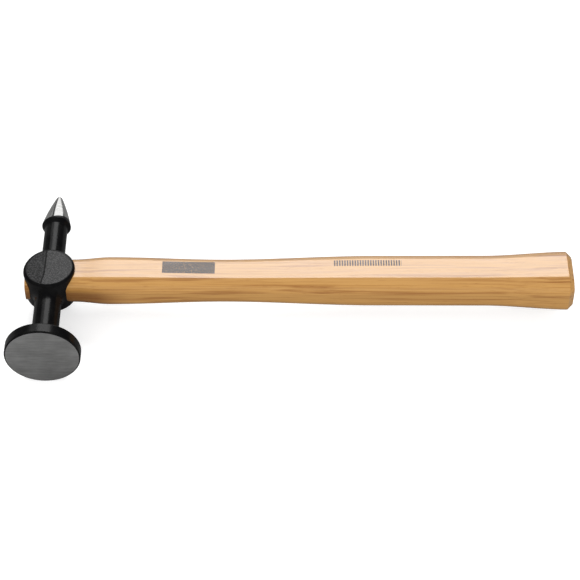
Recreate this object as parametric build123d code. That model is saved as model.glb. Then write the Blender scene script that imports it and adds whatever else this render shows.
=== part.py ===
from build123d import *
import os

# A light sheet-metal hammer: a forged steel head with one round flat face and one round point,
# on a wooden handle that passes through the head's eye and is spread there by two wedges.
# Millimetres. The origin is the centre of the striking face. +Y runs up the head to the point,
# +X runs along the handle to its butt, and +Z is square to the head's flat cheeks.

# Head, measured along Y from the striking face
HEAD_LENGTH = 122.0
EYE_CENTRE = 56.2
FACE_RADIUS = 21.0
FACE_THICKNESS = 6.7
FACE_EDGE_ROUND = 0.8
FACE_BACK_SLOPE = 1.2
FACE_BACK_ROUND = 1.0
FACE_NECK_RADIUS = 7.5
FACE_NECK_FILLET = 4.0
POINT_NECK_RADIUS = 6.55
LIP_START = 96.6
LIP_RADIUS = 8.5
LIP_ROOT_ROUND = 0.8
LIP_EDGE = 98.2
LIP_ROUND = 0.9
CONE_START = 100.4
CONE_RADIUS = 7.95
CONE_MIDDLE_RADIUS = 5.4
TIP_RADIUS = 2.0
TIP_SLOPE = 18.0

# Boss around the eye, with two flat cheeks
BOSS_RADIUS = 14.9
CHEEK_RADIUS = 14.4
BOSS_HEIGHT = 22.7
CHEEK_EDGE_ROUND = 1.1
FACE_ROOT_FILLET = 2.6
POINT_ROOT_FILLET = 3.4
CHEEK_CREASE_X = -3.2
CHEEK_TILT = 4.5

# Handle, measured along X from the eye's centre: (place, half width, half height, arris round)
TANG_END = (-13.5, 10.2, 8.3, 3.4)
EYE_WAIST = (0.0, 9.7, 7.9, 3.4)
EYE_MOUTH = (14.0, 11.6, 8.9, 2.6)
SHOULDER = (34.0, 13.0, 9.6, 1.8)
HANDLE_WAIST = (98.0, 12.0, 8.35, 1.5)
GRIP_FRONT = (185.0, 13.95, 9.75, 1.5)
GRIP_BACK = (245.0, 14.0, 9.8, 1.5)
BUTT = (295.5, 16.0, 11.5, 3.4)
BUTT_CHAMFER = 3.0
HANDLE_STATIONS = (
    TANG_END, EYE_WAIST, EYE_MOUTH, SHOULDER, HANDLE_WAIST, GRIP_FRONT, GRIP_BACK, BUTT,
)
HANDLE_SECTIONS = 30
FACE_SIDE_FLAT_SHARE = 0.46
POINT_SIDE_FLAT_SHARE = 0.58
SIDE_FLAT_SHARE = 0.74
SIDE_ROUND = 5.5

# Wedges, driven into the tang's end
KERF_DEPTH = 17.0
WOODEN_WEDGE_WIDTH = 17.0
WOODEN_WEDGE_THICKNESS = 3.2
STEEL_WEDGE_DEPTH = 12.0
STEEL_WEDGE_WIDTH = 11.0
STEEL_WEDGE_THICKNESS = 2.2
WEDGE_EDGE_THICKNESS = 0.4

# How near a point has to be to count as lying on a surface
ON_SURFACE = 0.05


def turned_head():
    """The necks, the face and the point, as one outline turned about the head's axis."""
    half_outline = FilletPolyline(
        (0, 0),
        (FACE_RADIUS, 0),
        (FACE_RADIUS, FACE_THICKNESS),
        (FACE_NECK_RADIUS, FACE_THICKNESS + FACE_BACK_SLOPE),
        (FACE_NECK_RADIUS, EYE_CENTRE),
        radius=(FACE_EDGE_ROUND, FACE_BACK_ROUND, FACE_NECK_FILLET),
    )
    point_outline = FilletPolyline(
        (POINT_NECK_RADIUS, EYE_CENTRE),
        (POINT_NECK_RADIUS, LIP_START),
        (LIP_RADIUS, LIP_EDGE),
        (CONE_RADIUS, CONE_START),
        radius=(LIP_ROOT_ROUND, LIP_ROUND),
    )
    edges = half_outline.edges() + point_outline.edges() + tip_outline()
    edges += [
        Line((FACE_NECK_RADIUS, EYE_CENTRE), (POINT_NECK_RADIUS, EYE_CENTRE)),
        Line((0, HEAD_LENGTH), (0, 0)),
    ]
    return revolve(make_face(edges), Axis.Y)


def tip_outline():
    """The bare cone's slightly bellied side and its ball end, from the lip to the axis."""
    ball_centre = HEAD_LENGTH - TIP_RADIUS
    nose = CenterArc((0, ball_centre), TIP_RADIUS, TIP_SLOPE, 90 - TIP_SLOPE)
    belly = (CONE_MIDDLE_RADIUS, (CONE_START + ball_centre) / 2)
    side = ThreePointArc((CONE_RADIUS, CONE_START), belly, nose @ 0)
    return side.edges() + nose.edges()


def boss():
    """The round boss, a little barrelled in height, with two flat cheeks."""
    cheek = BOSS_HEIGHT / 2
    barrel = ThreePointArc((CHEEK_RADIUS, -cheek), (BOSS_RADIUS, 0), (CHEEK_RADIUS, cheek))
    outline = make_face([
        Line((0, -cheek), (CHEEK_RADIUS, -cheek)),
        barrel,
        Line((CHEEK_RADIUS, cheek), (0, cheek)),
        Line((0, cheek), (0, -cheek)),
    ])
    rims = outline.vertices().sort_by(Axis.X)[-2:]
    outline = fillet(rims, CHEEK_EDGE_ROUND)
    return Pos(0, EYE_CENTRE, 0) * revolve(Plane.XZ * outline, Axis.Z)


def cheek_cutter():
    """A block whose underside slopes down from the cheek's crease towards -X."""
    size = 2 * BOSS_RADIUS
    block = Pos(-size / 2, 0, size / 2) * Box(size, size, size)
    return Pos(CHEEK_CREASE_X, 0, BOSS_HEIGHT / 2) * Rot(0, -CHEEK_TILT, 0) * block


def eased(start, end, share):
    """A value between two, level at both ends of the span."""
    return start + (end - start) * share * share * (3 - 2 * share)


def station_at(place):
    """The handle's half width, half height and arris round at one place along X."""
    for back, front in zip(HANDLE_STATIONS, HANDLE_STATIONS[1:]):
        if place <= front[0]:
            share = (place - back[0]) / (front[0] - back[0])
            return [eased(start, end, share) for start, end in zip(back[1:], front[1:])]
    return list(HANDLE_STATIONS[-1][1:])


def handle_section(place):
    """An eight-sided outline, square to X: crisp arrises beside the wide flats, round sides."""
    half_width, half_height, arris = station_at(place)
    point_side = half_width * POINT_SIDE_FLAT_SHARE
    face_side = half_width * FACE_SIDE_FLAT_SHARE
    side_flat = half_height * SIDE_FLAT_SHARE
    corners = (
        (half_width, side_flat), (point_side, half_height),
        (-face_side, half_height), (-half_width, side_flat),
        (-half_width, -side_flat), (-face_side, -half_height),
        (point_side, -half_height), (half_width, -side_flat),
    )
    outline = Polygon(*corners, align=None)
    outline = fillet(outline.vertices().sort_by(lambda v: abs(v.X))[-4:], SIDE_ROUND)
    outline = fillet(outline.vertices().sort_by(lambda v: abs(v.Y))[-4:], arris)
    return Plane((place, EYE_CENTRE, 0), x_dir=(0, 1, 0), z_dir=(1, 0, 0)) * outline


def handle_blank():
    """The whole handle before the wedges' slots are cut."""
    length = BUTT[0] - TANG_END[0]
    places = [TANG_END[0] + length * i / HANDLE_SECTIONS for i in range(HANDLE_SECTIONS + 1)]
    blank = loft([handle_section(place) for place in places])
    butt_rim = blank.faces().sort_by(Axis.X)[-1].edges()
    return chamfer(butt_rim, BUTT_CHAMFER)


def neck_root(head, neck_radius):
    """The closed edge where the round neck of that radius leaves the boss."""
    for edge in head.edges():
        near_boss = abs(edge.center().Y - EYE_CENTRE) < BOSS_RADIUS
        points = [edge.position_at(share) for share in (0.1, 0.4, 0.7)]
        offsets = [abs((p.X**2 + p.Z**2) ** 0.5 - neck_radius) for p in points]
        if near_boss and max(offsets) < ON_SURFACE:
            return edge


def head_blank():
    """The forging before its eye is pierced."""
    blank = turned_head() + boss()
    blank = fillet(neck_root(blank, FACE_NECK_RADIUS), FACE_ROOT_FILLET)
    blank = fillet(neck_root(blank, POINT_NECK_RADIUS), POINT_ROOT_FILLET)
    for side in (0, 180):
        blank -= Pos(0, EYE_CENTRE, 0) * Rot(side, 0, 0) * cheek_cutter()
    return blank


def wedge(depth, width, thickness):
    """A wedge lying in the XY plane, thick end flush with the tang's end, thin end inwards."""
    thick = thickness / 2
    thin = WEDGE_EDGE_THICKNESS / 2
    side = Polygon((0, thick), (0, -thick), (depth, -thin), (depth, thin), align=None)
    body = extrude(Plane.XZ * side, width / 2, both=True)
    return Pos(TANG_END[0], EYE_CENTRE, 0) * body


def steel_wedge():
    """The steel wedge, driven across the wooden one."""
    flat = wedge(STEEL_WEDGE_DEPTH, STEEL_WEDGE_WIDTH, STEEL_WEDGE_THICKNESS)
    return flat.rotate(Axis((0, EYE_CENTRE, 0), (1, 0, 0)), 90)


def write_node(name, shape):
    """One sub-part, as one closed solid, in its own file."""
    shape.label = name
    export_step(shape, f"parts/{name}.step")


def build():
    """Make the pieces, fit each to the one inside it, and write them."""
    os.makedirs("parts", exist_ok=True)
    blank = handle_blank()
    across = steel_wedge()
    wooden = wedge(KERF_DEPTH, WOODEN_WEDGE_WIDTH, WOODEN_WEDGE_THICKNESS)
    write_node("hammer_head", head_blank() - blank)
    write_node("handle", blank - wooden - across)
    write_node("wooden_wedge", wooden - across)
    write_node("steel_wedge", across)


build()
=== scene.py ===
import math

import bpy
import numpy as np
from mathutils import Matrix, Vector


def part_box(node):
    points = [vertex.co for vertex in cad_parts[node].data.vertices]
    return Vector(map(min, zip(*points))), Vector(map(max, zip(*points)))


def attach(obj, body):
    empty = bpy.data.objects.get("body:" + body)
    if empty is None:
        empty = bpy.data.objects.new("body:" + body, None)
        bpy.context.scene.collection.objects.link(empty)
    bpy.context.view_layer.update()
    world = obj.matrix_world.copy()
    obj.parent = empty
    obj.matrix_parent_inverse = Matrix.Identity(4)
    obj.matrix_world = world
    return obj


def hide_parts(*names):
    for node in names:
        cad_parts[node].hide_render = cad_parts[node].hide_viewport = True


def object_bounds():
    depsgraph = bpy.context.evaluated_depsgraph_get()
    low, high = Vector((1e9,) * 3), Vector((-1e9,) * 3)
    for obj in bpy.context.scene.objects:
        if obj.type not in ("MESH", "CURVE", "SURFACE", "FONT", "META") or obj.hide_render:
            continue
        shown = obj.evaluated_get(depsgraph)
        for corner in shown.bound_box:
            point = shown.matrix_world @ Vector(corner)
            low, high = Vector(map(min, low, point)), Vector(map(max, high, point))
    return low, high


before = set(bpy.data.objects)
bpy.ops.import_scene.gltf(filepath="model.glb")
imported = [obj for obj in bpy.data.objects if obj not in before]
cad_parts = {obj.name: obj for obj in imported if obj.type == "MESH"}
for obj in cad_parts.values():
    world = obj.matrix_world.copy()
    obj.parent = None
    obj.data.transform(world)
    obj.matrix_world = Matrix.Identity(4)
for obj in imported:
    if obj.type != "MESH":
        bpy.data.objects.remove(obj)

CAD_BOX = [list(corner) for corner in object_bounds()]
MM = 0.001

# Places taken from the frame. The origin is the centre of the striking face, +Y runs up the head
# to the point, +X runs along the handle to its butt and +Z is square to the cheeks.
HEAD_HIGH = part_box("hammer_head")[1]
HANDLE_LOW, HANDLE_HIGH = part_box("handle")
EYE_Y = (HANDLE_LOW.y + HANDLE_HIGH.y) / 2 / MM
TANG_END_X = HANDLE_LOW.x / MM
BUTT_END_X = HANDLE_HIGH.x / MM
HEAD_LENGTH = HEAD_HIGH.y / MM

# The turned outline of the head, in millimetres
FACE_RADIUS = HEAD_HIGH.x / MM
FACE_THICKNESS = 6.7
FACE_EDGE_ROUND = 0.8
FACE_GROUND_RADIUS = 20.2
FACE_SEAT_RADIUS = 20.0
FACE_SEAT = 0.6
FACE_SEAT_GAP = 0.1
FACE_BACK_SLOPE = 1.2
FACE_BACK_ROUND = 1.0
FACE_NECK_RADIUS = 7.5
FACE_NECK_FILLET = 4.0
POINT_NECK_RADIUS = 6.55
LIP_START = 96.6
LIP_ROOT_ROUND = 0.8
LIP_EDGE = 98.2
LIP_RADIUS = 8.5
LIP_ROUND = 0.9
CONE_START = 100.4
CONE_RADIUS = 7.95
CONE_MIDDLE_RADIUS = 5.4
TIP_RADIUS = 2.0
TIP_SLOPE = math.radians(18)
LIP_FRONT_ROUND = 0.9
LIP_ROWS = np.arange(LIP_START - 1.2, 97.7, 0.15)
PAINT_EDGE = 99.9
PAINT_EDGE_TILT = 1.8
PAINT_EDGE_CLEAR = 103.0

# The boss round the eye
BOSS_RADIUS = 14.9
CHEEK_RADIUS = 14.4
CHEEK_HEIGHT = 11.35
CHEEK_EDGE_ROUND = 1.7
CHEEK_CREASE_X = -2.3
CREASE_BEND = 0.0106
CHEEK_FALL = math.tan(math.radians(4.5))
NECK_EASE = 8.0
FACE_ROOT_FILLET = 2.6
FACE_ROOT_REACH = 1.6
POINT_ROOT_FILLET = 3.4
BOSS_REACH = 23.0
BOSS_RIM = (12.8, 15.6)
SKIN_BRACKET = (4.0, 22.0)
SKIN_HALVINGS = 32

# The handle's stations along X: place, half width, half height, arris round
HANDLE_STATIONS = np.array([
    (TANG_END_X, 10.2, 8.3, 3.4),
    (0.0, 9.7, 7.9, 3.4),
    (14.0, 11.6, 8.9, 2.6),
    (34.0, 13.0, 9.6, 1.8),
    (98.0, 12.0, 8.35, 1.5),
    (185.0, 13.95, 9.75, 1.5),
    (245.0, 14.0, 9.8, 1.5),
    (BUTT_END_X, 16.0, 11.5, 3.4),
])
BUTT_CHAMFER = 3.0
BUTT_BREAK = 0.5
FACE_SIDE_FLAT_SHARE = 0.46
POINT_SIDE_FLAT_SHARE = 0.58
SIDE_FLAT_SHARE = 0.74
SIDE_ROUND = 5.5

# How finely the skins are divided, and the slack round a wedge
AROUND_HEAD = 256
ANGLE_CROWDING = 0.08
ARC_POINTS = 7
HANDLE_SECTIONS = 240
FLAT_SHARES = (0.12, 0.5, 0.88)
SHARP_ANGLE = math.radians(38)
WEDGE_GAP = 0.04
WELD_DISTANCE = 0.000001

# Where the cheek's grain begins and is whole, and its crease line (dented, and painted dark as
# shade), in metres
CHEEK_GRAIN_HEIGHT = (0.0098, 0.0104)
CHEEK_GRAIN_RIM = (0.0131, 0.0125)
CREASE_LINE_HALF_WIDTH = 0.00065

# Where the painted shade by the eye's mouth, on the handle's lower side, begins and is whole, in
# metres
EYE_SHADE_ALONG = (0.050, 0.022)
EYE_SHADE_DOWN = (0.008, 0.0)

# Print on the handle's upper flat, in metres
PRINTED_ABOVE = (0.004, 0.005)
BAR_CENTRE = (0.0785, 0.0585, 0)
BAR_HALF_SIZE = (0.0148, 0.0043, 0)
TALLY_CENTRE = (0.1797, 0.0610, 0)
TALLY_HALF_SIZE = (0.0190, 0.0021, 0)
TALLY_PITCH = 0.00146


# ---------------------------------------------------------------- mesh helpers


def ring_faces(rings, around, start=0):
    """Quads between each ring and the next: corner (i, j) is point i * around + j, with j going
    round and back to 0."""
    i, j = np.meshgrid(np.arange(rings - 1), np.arange(around), indexing="ij")
    k = (j + 1) % around
    quads = np.stack([i * around + j, i * around + k, (i + 1) * around + k, (i + 1) * around + j])
    return start + quads.reshape(4, -1).T


def fan_faces(first, around, centre, flip):
    """Triangles from one ring to its centre point."""
    j = np.arange(around)
    k = (j + 1) % around
    ends = (first + k, first + j) if flip else (first + j, first + k)
    return np.stack([*ends, np.full(around, centre)], axis=1)


def make_piece(name, rings, material):
    """A closed skin over rings of points, an array of (ring, around, xyz) in millimetres. The first
    and the last ring are each closed by a fan to the ring's mean point."""
    count, around, _ = rings.shape
    caps = np.stack([rings[0].mean(0), rings[-1].mean(0)])
    points = np.concatenate([rings.reshape(-1, 3), caps]) * MM
    quads = ring_faces(count, around)
    first_cap = fan_faces(0, around, count * around, True)
    last_cap = fan_faces((count - 1) * around, around, count * around + 1, False)
    faces = quads.tolist() + first_cap.tolist() + last_cap.tolist()
    mesh = bpy.data.meshes.new(name)
    mesh.from_pydata(points.tolist(), [], faces)
    mesh.update()
    return add_object(name, mesh, material)


def add_object(name, mesh, material):
    """Links a mesh as a smooth-shaded object whose sharp edges stay sharp."""
    mesh.shade_smooth()
    mesh.set_sharp_from_angle(angle=SHARP_ANGLE)
    mesh.materials.clear()
    mesh.materials.append(material)
    piece = bpy.data.objects.new(name, mesh)
    bpy.context.scene.collection.objects.link(piece)
    return piece


def carve(piece, cutters, material):
    """Cuts the cutters' volumes out of a piece, and keeps the result as its own mesh."""
    for cutter in cutters:
        step = piece.modifiers.new("cut", "BOOLEAN")
        step.operation = "DIFFERENCE"
        step.solver = "EXACT"
        step.object = cutter
    graph = bpy.context.evaluated_depsgraph_get()
    carved = bpy.data.meshes.new_from_object(piece.evaluated_get(graph))
    name = piece.name
    bpy.data.objects.remove(piece)
    carved.name = name
    return add_object(name, carved, material)


def settle(piece, body, slot, *nodes):
    """Ties a finished piece to its CAD body and hides the CAD nodes it stands for; its finish, the
    slot, is not used.
    """
    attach(piece, body)
    if nodes:
        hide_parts(*nodes)
    return piece


# ---------------------------------------------------------------- shapes


def rounded_path(corners, rounds, spacing):
    """Points along straight runs joined by tangent arcs. At a corner that turns by t, an arc of
    radius r starts r * tan(t / 2) before the corner. Runs are sampled every `spacing`."""
    corners = np.asarray(corners, float)
    ahead = np.diff(corners, axis=0)
    ahead /= np.linalg.norm(ahead, axis=1, keepdims=True)
    parts, start = [], corners[0]
    for i, radius in enumerate(rounds):
        before, after, corner = ahead[i], ahead[i + 1], corners[i + 1]
        turn = math.acos(np.clip(before @ after, -1, 1))
        trim = radius * math.tan(turn / 2)
        inward = after - before
        inward /= np.linalg.norm(inward)
        centre = corner + inward * radius / math.cos(turn / 2)
        spoke = corner - before * trim - centre
        angles = np.linspace(0, turn, ARC_POINTS)[:, None]
        parts.append(run(start, corner - before * trim, spacing))
        parts.append(centre + spoke * np.cos(angles) + before * radius * np.sin(angles))
        start = corner + after * trim
    parts.append(run(start, corners[-1], spacing))
    return np.concatenate(parts)


def run(start, end, spacing):
    """Evenly spaced points strictly between two ends."""
    pieces = max(2, math.ceil(np.linalg.norm(end - start) / spacing))
    shares = np.linspace(0, 1, pieces + 1)[1:-1, None]
    return start + (end - start) * shares


def neck_radius(y):
    """The plain neck's radius inside the boss: one neck's radius on each side, and between them
    3 s^2 - 2 s^3 of the step, with s the share of the ease that is behind y."""
    share = np.clip((y - EYE_Y) / NECK_EASE + 0.5, 0, 1)
    share = share * share * (3 - 2 * share)
    return FACE_NECK_RADIUS + (POINT_NECK_RADIUS - FACE_NECK_RADIUS) * share


def boss_distance(radius, y, angle):
    """Roughly the distance to the head's skin near the eye. The boss is the round meeting of a
    barrel about Z and two flat cheeks, of which the -X strip falls away from a crease; the boss
    and the neck are then joined by a round fillet, drawn out along the neck under the cheeks."""
    x, z = radius * np.cos(angle), radius * np.sin(angle)
    barrel = CHEEK_RADIUS + (BOSS_RADIUS - CHEEK_RADIUS) * (1 - (z / CHEEK_HEIGHT) ** 2)
    wall = np.hypot(x, y - EYE_Y) - barrel
    crease = CHEEK_CREASE_X - CREASE_BEND * np.maximum(EYE_Y - y, 0) ** 2
    cheek = np.abs(z) - CHEEK_HEIGHT + CHEEK_FALL * np.maximum(crease - x, 0)
    past_wall = np.maximum(wall + CHEEK_EDGE_ROUND, 0)
    edge = np.hypot(past_wall, np.maximum(cheek + CHEEK_EDGE_ROUND, 0))
    boss = np.minimum(np.maximum(wall, cheek), -CHEEK_EDGE_ROUND) + edge
    neck = radius - neck_radius(y)
    fillet = np.where(y > EYE_Y, POINT_ROOT_FILLET, FACE_ROOT_FILLET)
    reach = np.where(y > EYE_Y, 1.0, 1.0 + FACE_ROOT_REACH * np.sin(angle) ** 4)
    boss = boss / reach
    corner = np.hypot(np.maximum(fillet - boss, 0), np.maximum(fillet - neck, 0))
    return np.maximum(np.minimum(boss, neck), fillet) - corner


def boss_skin(y, angle):
    """The radius at which the distance above is nil, found by halving a bracket."""
    low = np.full(np.broadcast(y, angle).shape, SKIN_BRACKET[0])
    high = np.full_like(low, SKIN_BRACKET[1])
    for _ in range(SKIN_HALVINGS):
        middle = (low + high) / 2
        inside = boss_distance(middle, y, angle) < 0
        low, high = np.where(inside, middle, low), np.where(inside, high, middle)
    return (low + high) / 2


def head_angles():
    """Angles round the head's axis, an even turn less a little of the sine of four times it, which
    crowds them towards the four quarters."""
    turn = np.arange(AROUND_HEAD) / AROUND_HEAD * 2 * np.pi
    return turn - ANGLE_CROWDING * np.sin(4 * turn)


def face_rings():
    """Rings of the ground face: a flat disc with a short, tapered wall behind it, turned about Y."""
    flat = np.append(np.arange(0.5, FACE_SEAT_RADIUS, 2.0), FACE_GROUND_RADIUS)
    front = np.stack([flat, np.zeros_like(flat)], axis=1)
    back = [(FACE_SEAT_RADIUS, FACE_SEAT - FACE_SEAT_GAP)]
    return turned(np.concatenate([front, back]))


def turned(outline):
    """An outline of (radius, height) turned about Y."""
    return round_y(outline[:, :1], outline[:, 1:])


def round_y(radius, y):
    """Points at a radius and a height Y for each of the head's angles a: x is the radius times
    cos a, and z is the radius times sin a."""
    angle = head_angles()
    radius, y = np.broadcast_arrays(radius, y, angle)[:2]
    return np.stack([radius * np.cos(angle), y, radius * np.sin(angle)], axis=2)


def painted_rings():
    """Rings of the painted forging, from the seat of the face to the edge of the ground point. Near
    the eye each ring's radius is the boss's skin instead of the neck."""
    seat = [(FACE_SEAT_RADIUS, FACE_SEAT), (FACE_GROUND_RADIUS, 0)]
    lower = rounded_path(
        [seat[1], (FACE_RADIUS, 0), (FACE_RADIUS, FACE_THICKNESS),
         (FACE_NECK_RADIUS, FACE_THICKNESS + FACE_BACK_SLOPE),
         (FACE_NECK_RADIUS, EYE_Y - BOSS_REACH)],
        [FACE_EDGE_ROUND - 0.1, FACE_BACK_ROUND, FACE_NECK_FILLET], 0.5)
    steps = np.concatenate([
        np.arange(0.2, BOSS_RIM[0], 0.42), np.arange(*BOSS_RIM, 0.11),
        np.arange(BOSS_RIM[1], BOSS_REACH, 0.35)])
    eye_rows = (EYE_Y + np.concatenate([-steps[::-1], steps]))[:, None]
    angle = head_angles()
    middle = round_y(boss_skin(eye_rows, angle[None, :]), eye_rows)
    rows = np.append(np.arange(EYE_Y + BOSS_REACH, LIP_START - 1.5, 0.9), LIP_ROWS)[:, None]
    upper = turned_rows(rows)
    edge = turned_rows(between(LIP_ROWS[-1], paint_edge(angle), 6))
    return np.concatenate([turned(np.array(seat)), turned(lower), middle, upper, edge])


def between(start, end, count):
    """Rows that pass evenly from one height to another, the first left out."""
    return start + (end - start) * (np.arange(count) + 1)[:, None] / count


def paint_edge(angle):
    """The height at which the paint stops round the point: a ring, a little askew."""
    return PAINT_EDGE + PAINT_EDGE_TILT * np.cos(angle)


def turned_rows(y):
    """Rings of the point end at the heights y, an array of (ring, around) or (ring, 1), by reading
    the outline's radius at each height."""
    outline = point_outline()
    return round_y(np.interp(y, outline[:, 1], outline[:, 0]), y)


def point_outline():
    """The outline from the plain neck over the lip and along the bellied cone to its ball end. The
    cone's side is a parabola through the lip's front, the belly and the start of the ball."""
    ball = HEAD_LENGTH - TIP_RADIUS
    end = np.array([TIP_RADIUS * math.cos(TIP_SLOPE), ball + TIP_RADIUS * math.sin(TIP_SLOPE)])
    start = np.array([CONE_RADIUS, CONE_START])
    middle_share = ((CONE_START + ball) / 2 - CONE_START) / (end[1] - CONE_START)
    at_middle = start[0] + (end[0] - start[0]) * middle_share
    belly = (CONE_MIDDLE_RADIUS - at_middle) / (middle_share * (1 - middle_share))
    share = np.linspace(0.03, 1, 60)[:, None]
    cone = start + (end - start) * share + np.array([belly, 0]) * share * (1 - share)
    lip = rounded_path(
        [(POINT_NECK_RADIUS, EYE_Y), (POINT_NECK_RADIUS, LIP_START), (LIP_RADIUS, LIP_EDGE),
         (CONE_RADIUS, CONE_START), cone[0]],
        [LIP_ROOT_ROUND, LIP_ROUND, LIP_FRONT_ROUND], 0.4)
    turn = np.linspace(TIP_SLOPE, math.pi / 2 - 0.05, 14)[1:, None]
    nose = np.array([0, ball]) + TIP_RADIUS * np.concatenate([np.cos(turn), np.sin(turn)], axis=1)
    return np.concatenate([lip, cone, nose])


def point_rings():
    """Rings of the ground point, from the paint's edge to the end of the ball."""
    angle = head_angles()
    tip = HEAD_LENGTH - TIP_RADIUS * (1 - np.sin(np.linspace(0.25, 1.52, 14)))
    rows = np.concatenate([np.arange(PAINT_EDGE_CLEAR + 0.5, tip[0] - 0.2, 0.55), tip])[:, None]
    first = paint_edge(angle)[None, :]
    edge = first + (PAINT_EDGE_CLEAR - first) * np.linspace(0, 1, 14)[:, None]
    return turned_rows(np.concatenate([edge, rows + 0 * angle]))


def eased_stations(x):
    """Half width, half height and arris round at each x: each span eases level to level."""
    places = HANDLE_STATIONS[:, 0]
    span = np.clip(np.searchsorted(places, x, side="right") - 1, 0, len(places) - 2)
    share = np.clip((x - places[span]) / (places[span + 1] - places[span]), 0, 1)
    share = (share * share * (3 - 2 * share))[:, None]
    before, after = HANDLE_STATIONS[span, 1:], HANDLE_STATIONS[span + 1, 1:]
    return (before + (after - before) * share).T


def handle_rings(x, inset):
    """Sections of the handle at each x: an eight-sided outline, moved in by `inset`, whose corners
    are arcs, crisp beside the wide flats and full at the sides. Each flat has three more points."""
    half_width, half_height, arris = eased_stations(x)
    side = half_height * SIDE_FLAT_SHARE
    upper = [(half_width, side), (half_width * POINT_SIDE_FLAT_SHARE, half_height),
             (-half_width * FACE_SIDE_FLAT_SHARE, half_height), (-half_width, side)]
    corners = np.array(upper + [(w, -h) for w, h in upper[::-1]]).transpose(2, 0, 1)
    side_round = np.full_like(arris, SIDE_ROUND)
    radius = np.stack([side_round, arris, arris, side_round] * 2, axis=1)
    radius = (radius - inset[:, None])[:, :, None]
    ahead = np.roll(corners, -1, axis=1) - corners
    ahead /= np.linalg.norm(ahead, axis=2, keepdims=True)
    behind = np.roll(ahead, 1, axis=1)
    inward = ahead - behind
    inward /= np.linalg.norm(inward, axis=2, keepdims=True)
    half_turn_cos = np.sqrt((1 + (ahead * behind).sum(2, keepdims=True)) / 2)
    centre = (corners + inward * (radius + inset[:, None, None]) / half_turn_cos)[:, :, None]
    sweep = np.arccos(half_turn_cos)[:, :, None] * np.linspace(-1, 1, ARC_POINTS)[:, None]
    across = np.stack([inward[..., 1], -inward[..., 0]], axis=2)[:, :, None]
    spokes = across * np.sin(sweep) - inward[:, :, None] * np.cos(sweep)
    arcs = centre + radius[:, :, None] * spokes
    start, end = arcs[:, :, -1:], np.roll(arcs, -1, axis=1)[:, :, :1]
    flats = start + (end - start) * np.array(FLAT_SHARES)[:, None]
    outline = np.concatenate([arcs, flats], axis=2).reshape(len(x), -1, 2)
    place = np.broadcast_to(x[:, None, None], outline.shape[:2] + (1,))
    return np.concatenate([place, outline[..., :1] + EYE_Y, outline[..., 1:]], axis=2)


def whole_handle_rings():
    """The handle from the tang's end to the chamfered butt. Along the chamfer each section is moved
    in as far as it has come along X, and both its edges are broken by a small arc."""
    chamfer_start = BUTT_END_X - BUTT_CHAMFER
    shaft = np.linspace(TANG_END_X, chamfer_start - 2, HANDLE_SECTIONS)
    end = rounded_path(
        [(chamfer_start - 2, 0), (chamfer_start, 0), (BUTT_END_X, BUTT_CHAMFER),
         (BUTT_END_X, BUTT_CHAMFER + 1)],
        [BUTT_BREAK, BUTT_BREAK], 0.7)
    x = np.append(shaft, end[:, 0])
    inset = np.append(np.zeros_like(shaft), np.minimum(end[:, 1], BUTT_CHAMFER + 0.3))
    return handle_rings(x, inset)


# ---------------------------------------------------------------- shader helpers


class Nodes:
    """A thin wrapper that adds nodes to a tree and links them by socket name or number."""

    def __init__(self, tree):
        self.tree = tree

    def add(self, kind, inputs=None, **settings):
        """A new node with its settings and its inputs, each a value or a link."""
        node = self.tree.nodes.new(kind)
        for key, value in settings.items():
            setattr(node, key, value)
        for key, value in (inputs or {}).items():
            self.set(node, key, value)
        return node

    def set(self, node, key, value):
        """Links a socket to an input, or gives the input a value."""
        if isinstance(value, bpy.types.NodeSocket):
            self.tree.links.new(value, node.inputs[key])
        else:
            node.inputs[key].default_value = value

    def math(self, operation, first, second=0.0, third=0.0):
        """One step of arithmetic."""
        inputs = {0: first, 1: second, 2: third}
        return self.add("ShaderNodeMath", inputs, operation=operation).outputs[0]

    def shift(self, operation, first, second=(0, 0, 0)):
        """One step of vector arithmetic that gives a vector."""
        inputs = {0: first, 1: second}
        return self.add("ShaderNodeVectorMath", inputs, operation=operation).outputs[0]

    def apart(self, vector):
        """A vector's X, Y and Z."""
        return self.add("ShaderNodeSeparateXYZ", {0: vector}).outputs

    def span(self, value, low, high, out_low=0.0, out_high=1.0):
        """Passes smoothly from one result to another as the value goes from low to high."""
        inputs = {0: value, 1: low, 2: high, 3: out_low, 4: out_high}
        node = self.add("ShaderNodeMapRange", inputs, interpolation_type="SMOOTHSTEP")
        return node.outputs[0]

    def mix(self, share, first, second):
        """A share of the second colour over the first."""
        node = self.add("ShaderNodeMix", data_type="RGBA")
        for number, value in ((0, share), (6, first), (7, second)):
            self.set(node, number, value)
        return node.outputs[2]

    def noise(self, vector, scale, detail=3.0, roughness=0.5):
        """Cloudy noise between 0 and 1."""
        inputs = {"Vector": vector, "Scale": scale, "Detail": detail, "Roughness": roughness}
        return self.add("ShaderNodeTexNoise", inputs).outputs["Fac"]

    def stretched(self, vector, scale):
        """A vector scaled by its own amount on each axis."""
        inputs = {"Vector": vector, "Scale": scale}
        return self.add("ShaderNodeMapping", inputs).outputs[0]


def new_group(name, inputs, outputs):
    """An empty shader group with named sockets, and the helper for its nodes."""
    tree = bpy.data.node_groups.new(name, "ShaderNodeTree")
    for direction, sockets in (("INPUT", inputs), ("OUTPUT", outputs)):
        for label, (kind, default) in sockets.items():
            socket = tree.interface.new_socket(label, in_out=direction, socket_type=kind)
            if default is not None:
                socket.default_value = default
    nodes = Nodes(tree)
    entry = nodes.add("NodeGroupInput")
    leave = nodes.add("NodeGroupOutput")
    return tree, nodes, entry, leave


VECTOR, FLOAT, COLOUR = "NodeSocketVector", "NodeSocketFloat", "NodeSocketColor"


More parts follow.
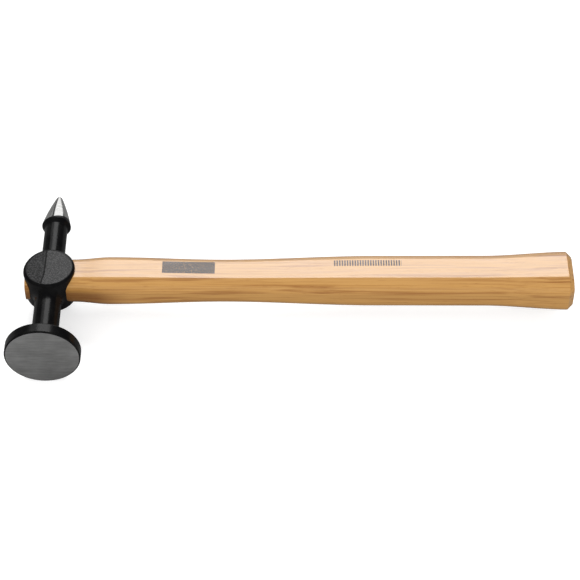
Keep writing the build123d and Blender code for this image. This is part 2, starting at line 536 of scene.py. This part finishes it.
def grinding_group():
    """Fine grinding lines: noise drawn out along one axis by the Stretch input."""
    tree, nodes, entry, leave = new_group(
        "grinding_lines",
        {"Vector": (VECTOR, None), "Stretch": (VECTOR, (1, 1, 1)), "Fineness": (FLOAT, 1.0)},
        {"Lines": (FLOAT, None), "Clouds": (FLOAT, None)})
    drawn = nodes.stretched(entry.outputs["Vector"], entry.outputs["Stretch"])
    fine = nodes.noise(drawn, entry.outputs["Fineness"], 4.0, 0.65)
    coarse = nodes.noise(drawn, nodes.math("MULTIPLY", entry.outputs["Fineness"], 0.23), 3.0)
    lines = nodes.math("MULTIPLY_ADD", fine, 0.6, nodes.math("MULTIPLY", coarse, 0.4))
    clouds = nodes.noise(entry.outputs["Vector"], 90.0, 3.0)
    nodes.set(leave, "Lines", lines)
    nodes.set(leave, "Clouds", clouds)
    return tree


def wood_group():
    """Ash: yearly rings as sloping layers of uneven width, bent by slow noise along X, with fine
    and bold streaks along the grain and short dark pores in each ring's early wood."""
    tree, nodes, entry, leave = new_group(
        "ash_grain",
        {"Vector": (VECTOR, None), "Light": (COLOUR, None), "Dark": (COLOUR, None),
         "Ring Width": (FLOAT, 0.0016)},
        {"Color": (COLOUR, None), "Pores": (FLOAT, None), "Rings": (FLOAT, None)})
    vector = entry.outputs["Vector"]
    slow = nodes.noise(nodes.stretched(vector, (4, 20, 20)), 1.0, 2.0)
    wander = nodes.math("MULTIPLY_ADD", slow, 0.011, -0.0055)
    parts = nodes.apart(vector)
    depth = nodes.math("MULTIPLY_ADD", parts["Y"], 0.35, parts["Z"])
    depth = nodes.math("ADD", depth, wander)
    place = nodes.math("DIVIDE", depth, entry.outputs["Ring Width"])
    uneven = nodes.noise(nodes.stretched(vector, (6, 260, 260)), 1.0, 2.0)
    place = nodes.math("MULTIPLY_ADD", uneven, 2.2, place)
    rings = nodes.math("FRACT", place)
    late = nodes.span(rings, 0.35, 0.95)
    late = nodes.math("MULTIPLY", late, nodes.span(rings, 1.0, 0.93))
    streaks = nodes.noise(nodes.stretched(vector, (14, 900, 900)), 1.0, 4.0, 0.65)
    bold = nodes.span(nodes.noise(nodes.stretched(vector, (9, 460, 460)), 1.0, 2.0), 0.54, 0.68)
    pores = nodes.noise(nodes.stretched(vector, (160, 3200, 3200)), 1.0, 2.0)
    pores = nodes.math("MULTIPLY", nodes.span(pores, 0.58, 0.70), nodes.span(rings, 0.5, 0.1))
    shade = nodes.math("MULTIPLY_ADD", late, 0.20, -0.50)
    shade = nodes.math("MULTIPLY_ADD", streaks, 1.35, shade)
    shade = nodes.math("MULTIPLY_ADD", bold, 0.42, shade)
    shade = nodes.math("MULTIPLY_ADD", pores, 0.40, shade)
    colour = nodes.mix(nodes.span(shade, 0.05, 0.95), entry.outputs["Light"], entry.outputs["Dark"])
    nodes.set(leave, "Color", colour)
    nodes.set(leave, "Pores", pores)
    nodes.set(leave, "Rings", late)
    return tree


def box_mask_group():
    """1 inside a rectangle across X and Y about a centre, 0 outside, with soft edges."""
    tree, nodes, entry, leave = new_group(
        "printed_box",
        {"Vector": (VECTOR, None), "Centre": (VECTOR, None), "Half Size": (VECTOR, None),
         "Softness": (FLOAT, 0.00012)},
        {"Mask": (FLOAT, None)})
    away = nodes.shift("SUBTRACT", entry.outputs["Vector"], entry.outputs["Centre"])
    away = nodes.shift("ABSOLUTE", away)
    past = nodes.shift("SUBTRACT", away, entry.outputs["Half Size"])
    parts = nodes.apart(past)
    worst = nodes.math("MAXIMUM", parts["X"], parts["Y"])
    nodes.set(leave, "Mask", nodes.span(worst, entry.outputs["Softness"], 0.0))
    return tree


def new_material(name):
    """A material with its helper, its Principled shader and its object coordinates."""
    material = bpy.data.materials.new(name)
    material.use_nodes = True
    nodes = Nodes(material.node_tree)
    shader = material.node_tree.nodes["Principled BSDF"]
    place = nodes.add("ShaderNodeTexCoord").outputs["Object"]
    return material, nodes, shader, place


def use_group(nodes, tree, inputs):
    """One instance of a shared group inside a material."""
    node = nodes.add("ShaderNodeGroup", node_tree=tree)
    for key, value in inputs.items():
        nodes.set(node, key, value)
    return node.outputs


def bumped(nodes, shader, height, strength, distance):
    """Feeds a height into the shader's normal."""
    inputs = {"Strength": strength, "Distance": distance, "Height": height}
    nodes.set(shader, "Normal", nodes.add("ShaderNodeBump", inputs).outputs[0])


# ---------------------------------------------------------------- materials


def black_enamel():
    """Semi-gloss black stoving enamel over a forged skin: orange peel and fine grit all over, and
    coarser, pressed grain inside the rim of each cheek, with a dented line along its crease that is
    also painted darker as shade."""
    material, nodes, shader, place = new_material("black_enamel")
    parts = nodes.apart(place)
    grit = nodes.noise(place, 2600.0, 3.0, 0.6)
    peel = nodes.noise(place, 420.0, 2.0)
    forged = nodes.noise(place, 110.0, 3.0)
    height_off_eye = nodes.math("SUBTRACT", parts["Y"], EYE_Y * MM)
    from_eye = nodes.math(
        "SQRT", nodes.math("MULTIPLY_ADD", parts["X"], parts["X"],
                           nodes.math("MULTIPLY", height_off_eye, height_off_eye)))
    outward = nodes.math("ABSOLUTE", parts["Z"])
    cheek = nodes.math(
        "MULTIPLY", nodes.span(outward, *CHEEK_GRAIN_HEIGHT), nodes.span(from_eye, *CHEEK_GRAIN_RIM))
    below = nodes.math("MAXIMUM", nodes.math("SUBTRACT", EYE_Y * MM, parts["Y"]), 0.0)
    bend = nodes.math("MULTIPLY", nodes.math("MULTIPLY", below, below), CREASE_BEND / MM)
    off_line = nodes.math("ADD", nodes.math("ADD", parts["X"], -CHEEK_CREASE_X * MM), bend)
    line = nodes.span(nodes.math("ABSOLUTE", off_line), CREASE_LINE_HALF_WIDTH, 0.0)
    dent_and_crease_shade = nodes.math("MULTIPLY", line, cheek)
    speckled = nodes.math(
        "MULTIPLY", nodes.span(nodes.noise(place, 1300.0, 3.0, 0.7), 0.46, 0.60), cheek)
    tone = nodes.mix(
        nodes.span(forged, 0.35, 0.7), (0.004, 0.004, 0.0045, 1), (0.008, 0.008, 0.008, 1))
    tone = nodes.mix(speckled, tone, (0.040, 0.040, 0.041, 1))
    # Painted shade: the crease line is painted near-black, besides the dent that the bump gives it
    tone = nodes.mix(dent_and_crease_shade, tone, (0.002, 0.002, 0.002, 1))
    nodes.set(shader, "Base Color", tone)
    nodes.set(shader, "Roughness", nodes.span(grit, 0.3, 0.7, 0.18, 0.28))
    shader.inputs["Specular IOR Level"].default_value = 0.135
    height = nodes.math("MULTIPLY_ADD", peel, 0.10, nodes.math("MULTIPLY", forged, 0.2))
    height = nodes.math("MULTIPLY_ADD", grit, 0.03, height)
    pressed = nodes.math("MULTIPLY", nodes.noise(place, 1150.0, 4.0, 0.7), cheek)
    height = nodes.math("MULTIPLY_ADD", pressed, 0.16, height)
    height = nodes.math("MULTIPLY_ADD", dent_and_crease_shade, -1.0, height)
    bumped(nodes, shader, height, 1.0, 0.00022)
    return material


def ground_face_steel(grinding):
    """The face, ground in straight lines along the handle's direction."""
    material, nodes, shader, place = new_material("ground_face_steel")
    out = use_group(nodes, grinding, {"Vector": place, "Stretch": (0.05, 1, 1), "Fineness": 2600.0})
    shade = nodes.math("MULTIPLY_ADD", out["Lines"], 0.7, nodes.math("MULTIPLY", out["Clouds"], 0.3))
    tone = nodes.mix(nodes.span(shade, 0.3, 0.7), (0.50, 0.50, 0.495, 1), (0.88, 0.88, 0.87, 1))
    nodes.set(shader, "Base Color", tone)
    shader.inputs["Metallic"].default_value = 1.0
    nodes.set(shader, "Roughness", nodes.span(out["Lines"], 0.3, 0.7, 0.36, 0.5))
    bumped(nodes, shader, out["Lines"], 0.35, 0.00006)
    return material


def ground_point_steel(grinding):
    """The point, ground and polished round its own axis."""
    material, nodes, shader, place = new_material("ground_point_steel")
    out = use_group(nodes, grinding, {"Vector": place, "Stretch": (0.1, 1, 0.1), "Fineness": 3200.0})
    tone = nodes.mix(nodes.span(out["Lines"], 0.3, 0.7), (0.50, 0.50, 0.49, 1), (0.66, 0.66, 0.65, 1))
    nodes.set(shader, "Base Color", tone)
    shader.inputs["Metallic"].default_value = 1.0
    nodes.set(shader, "Roughness", nodes.span(out["Clouds"], 0.3, 0.7, 0.10, 0.17))
    bumped(nodes, shader, out["Lines"], 0.15, 0.00003)
    return material


def wedge_steel(grinding):
    """The steel wedge: rolled strip, dull and a little brown."""
    material, nodes, shader, place = new_material("wedge_steel")
    out = use_group(nodes, grinding, {"Vector": place, "Stretch": (1, 1, 0.1), "Fineness": 1800.0})
    tone = nodes.mix(
        nodes.span(out["Clouds"], 0.3, 0.7), (0.16, 0.15, 0.14, 1), (0.32, 0.31, 0.29, 1))
    nodes.set(shader, "Base Color", tone)
    shader.inputs["Metallic"].default_value = 1.0
    nodes.set(shader, "Roughness", nodes.span(out["Lines"], 0.3, 0.7, 0.35, 0.5))
    bumped(nodes, shader, out["Lines"], 0.3, 0.00005)
    return material


def varnished_ash(grain, printed):
    """Clear-varnished ash, with painted shade that darkens and browns it towards the eye's mouth and
    on its lower side, a plain printed bar and a row of plain tally strokes on the upper flat."""
    material, nodes, shader, place = new_material("varnished_ash")
    out = use_group(nodes, grain, {
        "Vector": place, "Light": (0.55, 0.290, 0.082, 1), "Dark": (0.32, 0.130, 0.028, 1)})
    parts = nodes.apart(place)
    # Painted shade: darker, browner wood towards the eye's mouth and on the handle's lower side
    eye_shade = nodes.math(
        "MULTIPLY", nodes.span(parts["X"], *EYE_SHADE_ALONG), nodes.span(parts["Z"], *EYE_SHADE_DOWN))
    colour = nodes.mix(nodes.math("MULTIPLY", eye_shade, 0.80), out["Color"], (0.19, 0.066, 0.010, 1))
    bar = use_group(nodes, printed, {
        "Vector": place, "Centre": BAR_CENTRE, "Half Size": BAR_HALF_SIZE})["Mask"]
    strokes = use_group(nodes, printed, {
        "Vector": place, "Centre": TALLY_CENTRE, "Half Size": TALLY_HALF_SIZE})["Mask"]
    stroke = nodes.math("FRACT", nodes.math("MULTIPLY", parts["X"], 1 / TALLY_PITCH))
    strokes = nodes.math("MULTIPLY", strokes, nodes.span(stroke, 0.62, 0.54))
    upper = nodes.span(parts["Z"], *PRINTED_ABOVE)
    ink = nodes.math("MULTIPLY", nodes.math("MAXIMUM", bar, strokes), upper)
    worn = nodes.span(nodes.noise(place, 1900.0, 3.0), 0.30, 0.46, 0.45, 0.92)
    printed_over = nodes.math("MULTIPLY", ink, worn)
    colour = nodes.mix(printed_over, colour, (0.045, 0.048, 0.058, 1))
    nodes.set(shader, "Base Color", colour)
    nodes.set(shader, "Roughness", nodes.span(out["Rings"], 0.0, 1.0, 0.42, 0.36))
    nodes.set(shader, "Coat Weight", nodes.math("MULTIPLY_ADD", printed_over, -0.95, 1.0))
    shader.inputs["Coat Roughness"].default_value = 0.2
    height = nodes.math("MULTIPLY_ADD", out["Pores"], -0.6, out["Rings"])
    bumped(nodes, shader, height, 0.12, 0.0001)
    return material


def wedge_wood(grain):
    """The wooden wedge: unvarnished, darker wood."""
    material, nodes, shader, place = new_material("wedge_wood")
    out = use_group(nodes, grain, {
        "Vector": place, "Light": (0.46, 0.28, 0.14, 1), "Dark": (0.24, 0.12, 0.05, 1),
        "Ring Width": 0.0011})
    nodes.set(shader, "Base Color", out["Color"])
    shader.inputs["Roughness"].default_value = 0.7
    bumped(nodes, shader, out["Pores"], 0.2, 0.0001)
    return material


# ---------------------------------------------------------------- pieces


grinding = grinding_group()
grain = wood_group()
printed = box_mask_group()
enamel = black_enamel()
face_steel = ground_face_steel(grinding)
point_steel = ground_point_steel(grinding)
ash = varnished_ash(grain, printed)


def wedge_cutter(name, node):
    """The volume of a CAD wedge, merged and swelled by a hair, to cut its slot with."""
    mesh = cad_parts[node].data.copy()
    low, high = (np.array(corner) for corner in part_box(node))
    points = np.zeros(len(mesh.vertices) * 3)
    mesh.vertices.foreach_get("co", points)
    points = points.reshape(-1, 3)
    swell = 1 + 2 * WEDGE_GAP * MM / (high - low)
    middle = (low + high) / 2
    points = middle + (points - middle) * swell
    points[:, 0] -= 2 * WEDGE_GAP * MM
    mesh.vertices.foreach_set("co", points.ravel())
    cutter = bpy.data.objects.new(name, mesh)
    bpy.context.scene.collection.objects.link(cutter)
    weld = cutter.modifiers.new("weld", "WELD")
    weld.merge_threshold = WELD_DISTANCE
    return cutter


def make_head():
    """The painted forging with its eye cut through, and its two ground ends."""
    through = np.linspace(TANG_END_X - 6, 30, 60)
    eye = make_piece("eye_cutter", handle_rings(through, np.zeros_like(through)), enamel)
    painted = carve(make_piece("painted_forging", painted_rings()[::-1], enamel), [eye], enamel)
    bpy.data.objects.remove(eye)
    settle(painted, "root", "black_paint", "hammer_head")
    face = make_piece("ground_face", face_rings()[::-1], face_steel)
    settle(face, "root", "bare_steel", "hammer_head")
    point = make_piece("ground_point", point_rings()[::-1], point_steel)
    settle(point, "root", "bare_steel", "hammer_head")


def make_handle():
    """The handle, with the slots that its wedges fill."""
    cutters = [wedge_cutter("slot_" + node, node) for node in ("wooden_wedge", "steel_wedge")]
    handle = carve(make_piece("ash_handle", whole_handle_rings(), ash), cutters, ash)
    for cutter in cutters:
        bpy.data.objects.remove(cutter)
    settle(handle, "root", "varnished_ash", "handle")


def finish_wedges():
    """The wedges keep their CAD shape and get their own materials."""
    own = {"wooden_wedge": wedge_wood(grain), "steel_wedge": wedge_steel(grinding)}
    for node, material in own.items():
        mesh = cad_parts[node].data
        mesh.materials.clear()
        mesh.materials.append(material)


make_head()
make_handle()
finish_wedges()


# ---------------------------------------------------------------- stage, light and camera


FLOOR_Z = CAD_BOX[0][2]
AIM = Vector((0.1358, EYE_Y * MM - 0.007, 0.0))
CAMERA_ELEVATION = math.radians(48.2)
CAMERA_DISTANCE = 1.086
CAMERA_LENS = 119.36
CAMERA_SENSOR = 36.0
LIGHT_DISTANCE = 6.0
FLOOR_SIZE = 24.0
FLOOR_GREY = (0.22, 0.22, 0.22, 1)
FLOOR_WHITE = (0.80, 0.80, 0.80, 1)
FLOOR_GLOW = 0.45
SKY = 0.62


def make_floor():
    """A pale, matt floor under the lowest point of the head. It is white paper to the eye, and a
    dull grey one to what stands on it, so that its glow doesn't flood the paint and the steel."""
    half = FLOOR_SIZE / 2
    corners = [(-half, -half, FLOOR_Z), (half, -half, FLOOR_Z), (half, half, FLOOR_Z),
               (-half, half, FLOOR_Z)]
    mesh = bpy.data.meshes.new("floor")
    mesh.from_pydata(corners, [], [(0, 1, 2, 3)])
    floor = bpy.data.objects.new("floor", mesh)
    bpy.context.scene.collection.objects.link(floor)
    material, nodes, shader, _ = new_material("floor_white")
    seen = nodes.add("ShaderNodeLightPath").outputs["Is Camera Ray"]
    nodes.set(shader, "Base Color", nodes.mix(seen, FLOOR_GREY, FLOOR_WHITE))
    nodes.set(shader, "Emission Color", nodes.mix(seen, (0, 0, 0, 1), (1, 1, 1, 1)))
    shader.inputs["Emission Strength"].default_value = FLOOR_GLOW
    shader.inputs["Roughness"].default_value = 1.0
    shader.inputs["Specular IOR Level"].default_value = 0.0
    mesh.materials.append(material)


def add_panel(name, azimuth, elevation, width, height, radiance, in_gloss=True):
    """A rectangular soft light facing the aim. Its place and its size are angles in degrees as seen
    from the aim, with azimuth from +Y towards +X, and `radiance` is its brightness."""
    across, up = math.radians(azimuth), math.radians(elevation)
    toward = Vector((math.sin(across) * math.cos(up), math.cos(across) * math.cos(up), math.sin(up)))
    light = bpy.data.lights.new(name, "AREA")
    light.shape = "RECTANGLE"
    light.size = 2 * LIGHT_DISTANCE * math.tan(math.radians(width) / 2)
    light.size_y = 2 * LIGHT_DISTANCE * math.tan(math.radians(height) / 2)
    light.energy = math.pi * radiance * light.size * light.size_y
    lamp = bpy.data.objects.new(name, light)
    bpy.context.scene.collection.objects.link(lamp)
    lamp.location = AIM + toward * LIGHT_DISTANCE
    lamp.rotation_euler = toward.to_track_quat("Z", "Y").to_euler()
    lamp.visible_glossy = in_gloss


def make_lights():
    """A bright panel behind and above, a greyer one beside it, two low ones at the back wall, and a
    broad even fill from the front and the sky that leaves no glints."""
    add_panel("back_panel", 3, 48, 29, 22, 5.9)
    add_panel("side_panel", -28, 39, 15, 18, 1.6)
    add_panel("low_panel", 3.5, 15, 37, 27, 1.45)
    add_panel("dim_panel", -34, 9, 25, 16, 0.34)
    add_panel("front_fill", -8, 150, 70, 50, 2.3, in_gloss=False)
    world = bpy.data.worlds.new("studio")
    world.use_nodes = True
    sky = world.node_tree.nodes["Background"]
    sky.inputs["Color"].default_value = (1, 1, 1, 1)
    sky.inputs["Strength"].default_value = SKY
    world.cycles_visibility.glossy = False
    bpy.context.scene.world = world


def make_camera():
    """Looks along +Y and down, with its picture centred on the middle of the handle."""
    data = bpy.data.cameras.new("camera")
    data.lens = CAMERA_LENS
    data.sensor_width = CAMERA_SENSOR
    camera = bpy.data.objects.new("camera", data)
    bpy.context.scene.collection.objects.link(camera)
    back = Vector((0, -math.cos(CAMERA_ELEVATION), math.sin(CAMERA_ELEVATION)))
    camera.location = AIM + back * CAMERA_DISTANCE
    camera.rotation_euler = back.to_track_quat("Z", "Y").to_euler()
    bpy.context.scene.camera = camera


make_floor()
make_lights()
make_camera()
bpy.context.scene.view_settings.view_transform = "Standard"
